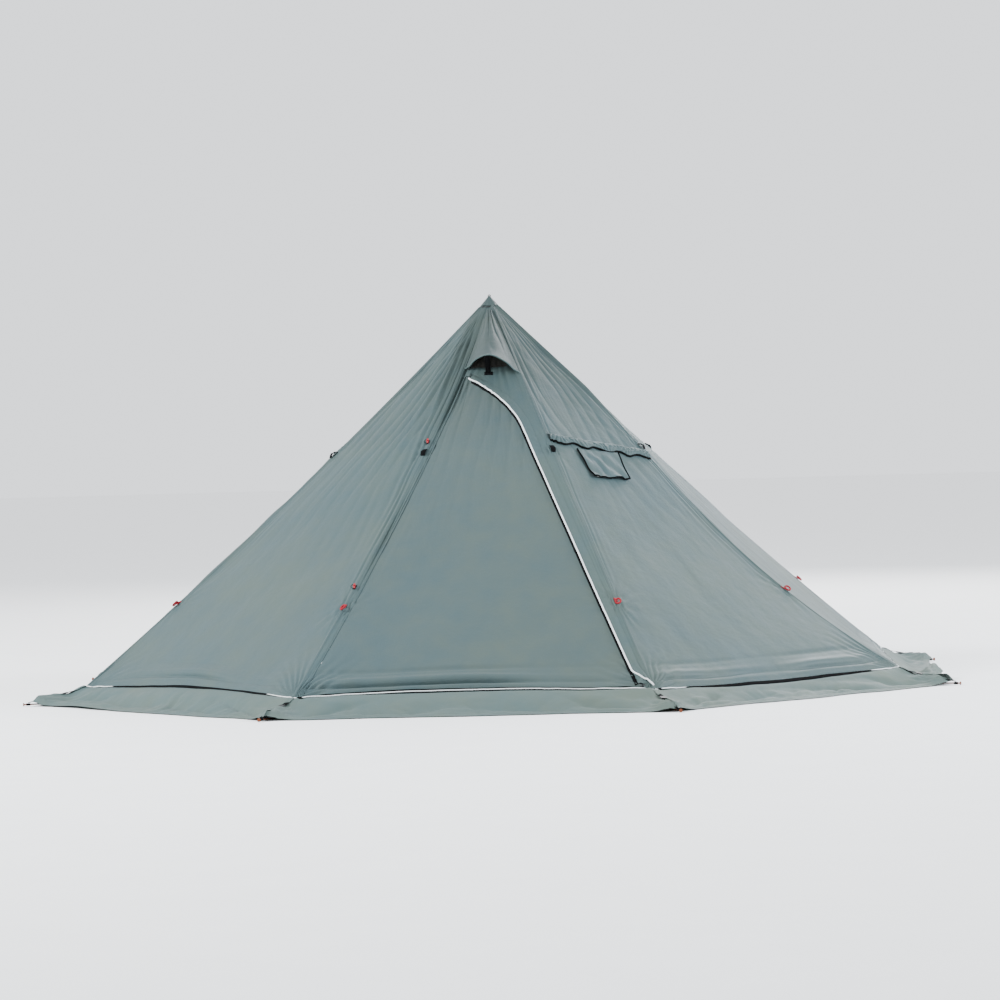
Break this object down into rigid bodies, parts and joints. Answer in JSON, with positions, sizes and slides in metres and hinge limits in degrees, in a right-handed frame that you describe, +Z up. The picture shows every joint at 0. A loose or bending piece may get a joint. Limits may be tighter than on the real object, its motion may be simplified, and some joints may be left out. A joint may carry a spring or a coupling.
{
  "type": "teepee tent",
  "caption": "Octagonal teepee tent with a centre pole, curved-zip front door, propped peak vent, stove jack and snow skirt pegged at its corners.",
  "frame": {"origin": "on the ground under the peak, on the centre pole's axis", "axes": "+Z up; the door panel faces -Y; +X is to the right of a person facing the door"},
  "size_m": [5.3066, 5.3066, 2.309],
  "materials": {
    "canopy_cloth": "coated ripstop nylon, grey green, slight sheen",
    "door_cloth": "coated ripstop nylon, grey green",
    "skirt_cloth": "uncoated ripstop nylon, lighter grey green",
    "ridge_tape": "woven seam tape",
    "piping": "white reflective piping",
    "black_webbing": "black woven webbing",
    "mesh": "black insect mesh",
    "red_cord": "red guy cord and loop",
    "heatproof": "silicone-coated fibreglass",
    "black_plastic": "moulded acetal, satin",
    "red_plastic": "moulded red plastic",
    "zip_coil": "black nylon coil",
    "zip_metal": "black painted zinc",
    "pole_alloy": "brushed alloy tube",
    "peg_alloy": "anodised alloy peg, worn",
    "pin_steel": "steel pin",
    "foot_rubber": "black rubber"
  },
  "bodies": {
    "canopy": {"panel_front_right": "canopy_cloth", "panel_right": "canopy_cloth", "panel_rear_right": "canopy_cloth", "panel_rear": "canopy_cloth", "panel_rear_left": "canopy_cloth", "panel_left": "canopy_cloth", "panel_front_left": "canopy_cloth", "front_strip_left": "canopy_cloth", "front_strip_right": "canopy_cloth", "front_crown": "canopy_cloth", "vent_mesh": "mesh", "zip_coil_canopy": "zip_coil", "ridge_tapes": "ridge_tape", "hem_piping": "piping", "hem_webbing": "black_webbing", "snow_skirt": "skirt_cloth", "corner_straps": "black_webbing", "ladder_locks": "black_plastic", "peg_loops": "black_webbing", "upper_guy_tabs": "black_webbing", "lower_guy_loops": "red_cord", "toggle_bases": "black_webbing", "vent_hood": "canopy_cloth", "hood_brim": "canopy_cloth", "prop_pocket": "black_webbing", "jack_pad": "heatproof", "jack_awning": "canopy_cloth", "awning_binding": "black_webbing", "peak_cap": "canopy_cloth", "pole_cup": "black_plastic", "pole_upper": "pole_alloy", "pole_tip": "black_plastic"},
    "door": {"door_panel": "door_cloth", "zip_coil_door": "zip_coil", "storm_flap": "canopy_cloth", "flap_piping": "piping", "flap_tabs": "black_webbing"},
    "slider": {"zip_slider": "zip_metal"},
    "pull": {"zip_pull": "zip_metal"},
    "prop": {"hood_prop": "black_webbing"},
    "cover": {"jack_cover": "canopy_cloth", "cover_binding": "black_webbing"},
    "toggle_high": {"toggle_upper": "red_plastic"},
    "toggle_low": {"toggle_lower": "red_plastic"},
    "lower_pole": {"pole_lower": "pole_alloy", "pole_foot": "foot_rubber", "clamp_collar": "black_plastic", "clamp_pin": "pin_steel"},
    "lever": {"clamp_lever": "black_plastic"},
    "peg_body_1": {"peg_1": "peg_alloy"},
    "peg_body_2": {"peg_2": "peg_alloy"},
    "peg_body_3": {"peg_3": "peg_alloy"},
    "peg_body_4": {"peg_4": "peg_alloy"},
    "peg_body_5": {"peg_5": "peg_alloy"},
    "peg_body_6": {"peg_6": "peg_alloy"},
    "peg_body_7": {"peg_7": "peg_alloy"},
    "peg_body_8": {"peg_8": "peg_alloy"}
  },
  "joints": [
    {"name": "door_swing", "type": "hinge", "parent": "canopy", "child": "door", "pos_m": [-0.90671, -2.30935, 0.09964], "axis": [-0.2873, -0.6936, -0.6606], "range_deg": [0, 110]},
    {"name": "zip_slide", "type": "slide", "parent": "canopy", "child": "slider", "axis": [-0.3058, 0.6894, 0.6567], "range_m": [0, 2.05]},
    {"name": "pull_flip", "type": "hinge", "parent": "slider", "child": "pull", "pos_m": [0.89484, -2.29673, 0.1187], "axis": [0.9521, 0.2214, 0.2109], "range_deg": [0, 150]},
    {"name": "prop_fold", "type": "hinge", "parent": "canopy", "child": "prop", "pos_m": [0, -0.49205, 1.83822], "axis": [-1, 0, 0], "range_deg": [0, 72], "deforming": ["vent_hood", "hood_brim"]},
    {"name": "jack_cover_lift", "type": "hinge", "parent": "canopy", "child": "cover", "pos_m": [0.66772, -0.7331, 1.36135], "axis": [-0.7642, -0.6394, 0.0841], "range_deg": [0, 100]},
    {"name": "toggle_high_turn", "type": "hinge", "parent": "canopy", "child": "toggle_high", "pos_m": [-0.32842, -0.8377, 1.51452], "axis": [0, -0.6897, 0.7241], "range_deg": [-90, 90]},
    {"name": "toggle_low_turn", "type": "hinge", "parent": "canopy", "child": "toggle_low", "pos_m": [-0.6824, -1.69229, 0.70052], "axis": [0, -0.6897, 0.7241], "range_deg": [-90, 90]},
    {"name": "pole_telescope", "type": "slide", "parent": "canopy", "child": "lower_pole", "axis": [0, 0, 1], "range_m": [0, 0.8]},
    {"name": "clamp_flip", "type": "hinge", "parent": "lower_pole", "child": "lever", "pos_m": [0.031, 0, 1.13], "axis": [0, 0, -1], "range_deg": [0, 110]},
    {"name": "peg_1_pull", "type": "slide", "parent": "canopy", "child": "peg_body_1", "axis": [0.3827, -0.9239, 0], "range_m": [0, 0.25]},
    {"name": "peg_2_pull", "type": "slide", "parent": "canopy", "child": "peg_body_2", "axis": [0.9239, -0.3827, 0], "range_m": [0, 0.25]},
    {"name": "peg_3_pull", "type": "slide", "parent": "canopy", "child": "peg_body_3", "axis": [0.9239, 0.3827, 0], "range_m": [0, 0.25]},
    {"name": "peg_4_pull", "type": "slide", "parent": "canopy", "child": "peg_body_4", "axis": [0.3827, 0.9239, 0], "range_m": [0, 0.25]},
    {"name": "peg_5_pull", "type": "slide", "parent": "canopy", "child": "peg_body_5", "axis": [-0.3827, 0.9239, 0], "range_m": [0, 0.25]},
    {"name": "peg_6_pull", "type": "slide", "parent": "canopy", "child": "peg_body_6", "axis": [-0.9239, 0.3827, 0], "range_m": [0, 0.25]},
    {"name": "peg_7_pull", "type": "slide", "parent": "canopy", "child": "peg_body_7", "axis": [-0.9239, -0.3827, 0], "range_m": [0, 0.25]},
    {"name": "peg_8_pull", "type": "slide", "parent": "canopy", "child": "peg_body_8", "axis": [-0.3827, -0.9239, 0], "range_m": [0, 0.25]}
  ]
}
